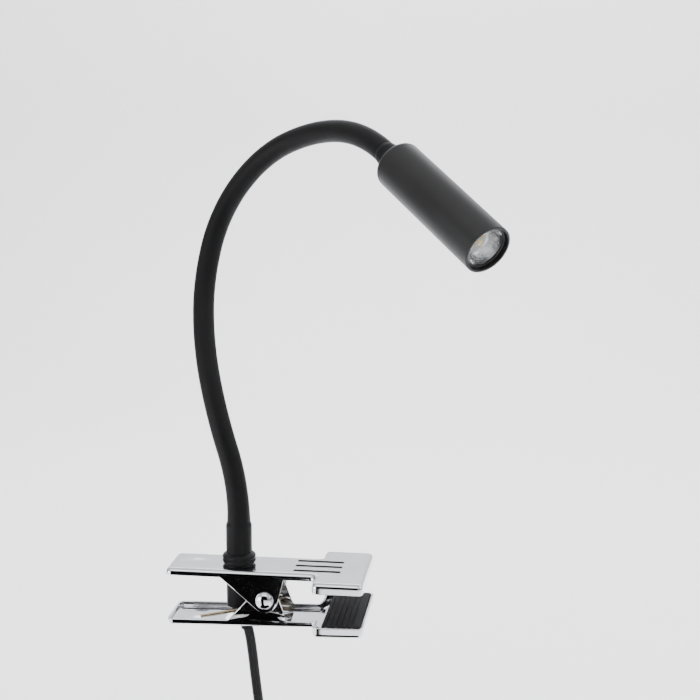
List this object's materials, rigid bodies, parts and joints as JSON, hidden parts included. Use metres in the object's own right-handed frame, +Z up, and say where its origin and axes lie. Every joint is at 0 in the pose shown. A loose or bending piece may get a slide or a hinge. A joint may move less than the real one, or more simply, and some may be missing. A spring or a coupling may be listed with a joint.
{
  "type": "clip-on reading lamp",
  "caption": "Reading lamp with a sprung sheet-metal clamp, a bendable rubber-covered neck, a tube-shaped LED head, and a cord with switch and plug.",
  "frame": {"origin": "middle of the upper jaw pad's gripping face", "axes": "+Z up, away from the gripped board; +X along the clamp towards the tips of its jaws; -Y towards the side that the head leans out to"},
  "size_m": [0.1699, 0.1235, 0.4986],
  "materials": {
    "chrome_sheet": "mirror-bright plated pressed sheet",
    "spring_wire": "bright drawn wire",
    "plated_steel": "plain plated turned steel",
    "pad_rubber": "matt black sheet rubber",
    "neck_rubber": "matt black sleeve",
    "collar_rubber": "satin black moulded rubber",
    "ferrule_black": "satin black",
    "core_steel": "wound steel tube",
    "wire_insulation": "smooth",
    "head_black": "fine satin black coating",
    "ring_black": "matt black",
    "board_green": "circuit board with lacquer",
    "heat_aluminium": "turned",
    "board_white": "white solder mask",
    "phosphor": "yellow phosphor in a clear dome",
    "lens_clear": "clear moulded acrylic",
    "cord_black": "soft satin sheath",
    "tie_black": "soft twist band",
    "switch_black": "fine textured moulding",
    "rocker_black": "smooth moulding",
    "plug_black": "satin moulding",
    "pin_metal": "nickel plated"
  },
  "bodies": {
    "clamp_and_cord": {"upper_lever": "chrome_sheet", "upper_jaw_pad": "pad_rubber", "pivot_pin": "chrome_sheet", "pivot_cap": "chrome_sheet", "torsion_spring": "spring_wire", "base_collar": "collar_rubber", "threaded_nipple": "plated_steel", "lower_ferrule": "ferrule_black", "lock_washer": "plated_steel", "tube_nut": "ferrule_black", "strain_relief": "collar_rubber", "neck_sleeve_1": "neck_rubber", "neck_core_1": "core_steel", "neck_leads_1": "wire_insulation", "cord_upper": "cord_black", "cord_lower": "cord_black", "cord_tail": "cord_black", "cord_coil": "cord_black", "cord_tie": "tie_black", "switch_front": "switch_black", "switch_back": "switch_black", "switch_screws": "plated_steel", "plug_body": "plug_black", "plug_pins": "pin_metal"},
    "lower_jaw": {"lower_lever": "chrome_sheet", "lower_jaw_pad": "pad_rubber"},
    "neck_2": {"neck_sleeve_2": "neck_rubber", "neck_core_2": "core_steel", "neck_leads_2": "wire_insulation"},
    "neck_3": {"neck_sleeve_3": "neck_rubber", "neck_core_3": "core_steel", "neck_leads_3": "wire_insulation"},
    "neck_4": {"neck_sleeve_4": "neck_rubber", "neck_core_4": "core_steel", "neck_leads_4": "wire_insulation"},
    "neck_5": {"neck_sleeve_5": "neck_rubber", "neck_core_5": "core_steel", "neck_leads_5": "wire_insulation"},
    "neck_6": {"neck_sleeve_6": "neck_rubber", "neck_core_6": "core_steel", "neck_leads_6": "wire_insulation"},
    "neck_7": {"neck_sleeve_7": "neck_rubber", "neck_core_7": "core_steel", "neck_leads_7": "wire_insulation"},
    "head": {"neck_sleeve_8": "neck_rubber", "neck_core_8": "core_steel", "neck_leads_8": "wire_insulation", "upper_ferrule": "ferrule_black", "head_nut": "plated_steel", "head_housing": "head_black", "driver_board": "board_green", "heat_sink": "heat_aluminium", "led_board": "board_white", "led_chips": "phosphor", "led_screws": "plated_steel", "head_leads": "wire_insulation", "tir_lens": "lens_clear", "lens_ring": "ring_black"},
    "rocker": {"switch_rocker": "rocker_black"}
  },
  "joints": [
    {"name": "jaw_hinge", "type": "hinge", "parent": "clamp_and_cord", "child": "lower_jaw", "pos_m": [-0.0383, 0, -0.0087], "axis": [0, 1, 0], "range_deg": [-18, 20], "stiffness_Nm_per_rad": 0.6, "deforming": ["torsion_spring"]},
    {"name": "neck_bend_1", "type": "hinge", "parent": "clamp_and_cord", "child": "neck_2", "pos_m": [-0.05969, 0.0028, 0.06469], "axis": [-0.8676, -0.4407, -0.2304], "range_deg": [-35, 15]},
    {"name": "neck_swing_2", "type": "hinge", "parent": "neck_2", "child": "neck_3", "pos_m": [-0.07034, 0.01224, 0.09822], "axis": [-0.5859, -0.7953, 0.1556], "range_deg": [-30, 30]},
    {"name": "neck_bend_3", "type": "hinge", "parent": "neck_3", "child": "neck_4", "pos_m": [-0.07688, 0.0276, 0.13061], "axis": [0.0167, 0.8792, -0.4761], "range_deg": [-35, 15]},
    {"name": "neck_swing_4", "type": "hinge", "parent": "neck_4", "child": "neck_5", "pos_m": [-0.0752, 0.04136, 0.16416], "axis": [-0.8084, 0.5887, -0.0042], "range_deg": [-30, 30]},
    {"name": "neck_bend_5", "type": "hinge", "parent": "neck_5", "child": "neck_6", "pos_m": [-0.06007, 0.04502, 0.19661], "axis": [0.546, 0.7593, -0.354], "range_deg": [-35, 15]},
    {"name": "neck_swing_6", "type": "hinge", "parent": "neck_6", "child": "neck_7", "pos_m": [-0.03305, 0.03491, 0.21798], "axis": [-0.0302, 0.5667, 0.8234], "range_deg": [-30, 30]},
    {"name": "neck_bend_7", "type": "hinge", "parent": "neck_7", "child": "head", "pos_m": [-0.00431, 0.01376, 0.22411], "axis": [0.6407, 0.697, -0.3221], "range_deg": [-35, 15]},
    {"name": "rocker_tip", "type": "hinge", "parent": "clamp_and_cord", "child": "rocker", "pos_m": [-0.043, -0.006, -0.106], "axis": [1, 0, 0], "range_deg": [-16, 0]}
  ]
}
